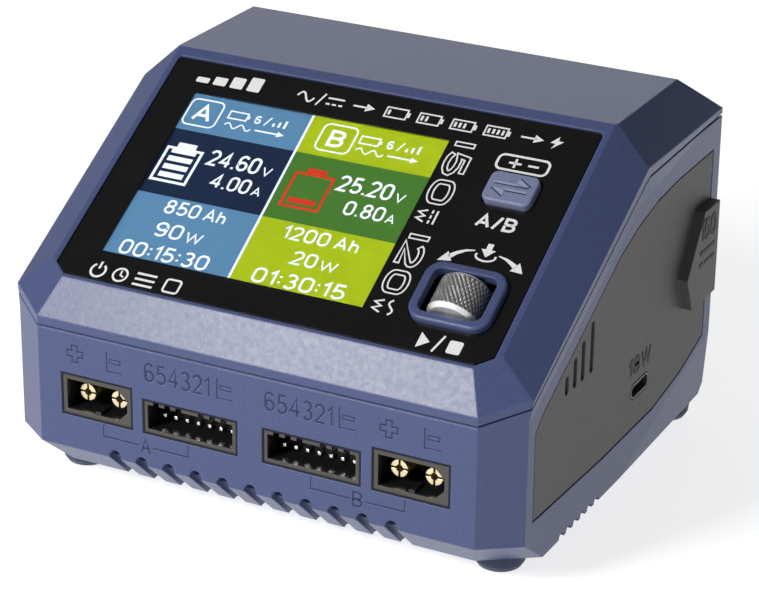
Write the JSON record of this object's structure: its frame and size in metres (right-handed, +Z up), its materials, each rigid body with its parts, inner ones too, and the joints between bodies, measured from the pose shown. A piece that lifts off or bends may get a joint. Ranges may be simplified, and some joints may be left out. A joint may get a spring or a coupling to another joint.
{
  "type": "balance battery charger",
  "caption": "Desktop twin-output balance battery charger: faceted case, sloped colour screen, thumb roller, port button, front sockets and rear fan.",
  "frame": {"origin": "on the table under the middle of the case, at the level of the feet's undersides", "axes": "+X to the user's right, +Y to the back of the charger, +Z up"},
  "size_m": [0.1144, 0.0984, 0.0754],
  "materials": {
    "navy_shell": "fine moulded texture",
    "foot_rubber": "matte",
    "zinc_steel": "zinc plated",
    "side_cover": "fine moulded texture",
    "overlay_black": "satin film",
    "clear_window": "clear",
    "lcd_glass": "gloss",
    "tray_steel": "stamped",
    "inner_plastic": "plain",
    "roller_metal": "knurled",
    "circuit_board": "solder mask",
    "chip_black": "moulded",
    "socket_black": "nylon",
    "gold_contact": "gold plated",
    "header_white": "nylon",
    "tinned_pin": "tinned",
    "fan_plastic": "plain",
    "winding_copper": "enamelled copper",
    "winding_tape": "polyester tape",
    "ferrite": "sintered",
    "capacitor_can": "sleeved",
    "sink_aluminium": "extruded",
    "ribbon_grey": "flat cable"
  },
  "bodies": {
    "case": {"bottom_shell": "navy_shell", "top_shell": "navy_shell", "feet": "foot_rubber", "case_screws": "zinc_steel", "right_side_cover": "side_cover", "left_side_cover": "side_cover", "display_overlay": "overlay_black", "screen_window": "clear_window", "lcd_glass": "lcd_glass", "lcd_tray": "tray_steel", "lcd_spacer": "inner_plastic", "roller_bezel": "navy_shell", "roller_guide": "inner_plastic", "roller_switch": "chip_black", "port_switch": "chip_black", "control_board": "circuit_board", "control_board_screws": "zinc_steel", "control_chips": "chip_black", "buzzer": "chip_black", "main_board": "circuit_board", "main_board_screws": "zinc_steel", "output_a_socket": "socket_black", "output_a_socket_contacts": "gold_contact", "output_b_socket": "socket_black", "output_b_socket_contacts": "gold_contact", "dc_input_socket": "socket_black", "dc_input_socket_contacts": "gold_contact", "balance_a_header": "socket_black", "balance_a_header_pins": "tinned_pin", "balance_b_header": "socket_black", "balance_b_header_pins": "tinned_pin", "usb_board": "circuit_board", "usb_c_shell": "tray_steel", "usb_c_tongue": "chip_black", "mains_inlet": "chip_black", "mains_inlet_pins": "tinned_pin", "fan_frame": "fan_plastic", "fan_bearing": "gold_contact", "fan_stator": "winding_copper", "fan_screws": "zinc_steel", "transformer_core": "ferrite", "transformer_winding": "winding_tape", "inductor_windings": "winding_copper", "inductor_cores": "ferrite", "capacitors": "capacitor_can", "heat_sink": "sink_aluminium", "power_transistors": "chip_black", "ribbon_cable": "ribbon_grey", "ribbon_sockets": "header_white"},
    "roller_carrier": {"roller_cradle": "inner_plastic", "roller_axle": "zinc_steel", "encoder_sensor": "chip_black", "roller_plunger": "inner_plastic"},
    "roller": {"thumb_roller": "roller_metal", "encoder_magnet": "tray_steel"},
    "port_button": {"port_button": "navy_shell", "port_plunger": "inner_plastic"},
    "fan_rotor": {"fan_rotor": "fan_plastic", "fan_shaft": "zinc_steel"}
  },
  "joints": [
    {"name": "roller_press", "type": "slide", "parent": "case", "child": "roller_carrier", "axis": [0, 0.5155, -0.8569], "range_m": [0, 0.0005], "stiffness_N_per_m": 1500, "springref_m": -0.0008},
    {"name": "roller_turn", "type": "hinge", "parent": "roller_carrier", "child": "roller", "pos_m": [0.0351, -0.0315, 0.05003], "axis": [0, 0.8569, 0.5155], "continuous": true},
    {"name": "port_press", "type": "slide", "parent": "case", "child": "port_button", "axis": [0, 0.5155, -0.8569], "range_m": [0, 0.0004], "stiffness_N_per_m": 1500, "springref_m": -0.0008},
    {"name": "fan_spin", "type": "hinge", "parent": "case", "child": "fan_rotor", "pos_m": [0, 0.0408, 0.038], "axis": [0, 1, 0], "continuous": true}
  ]
}
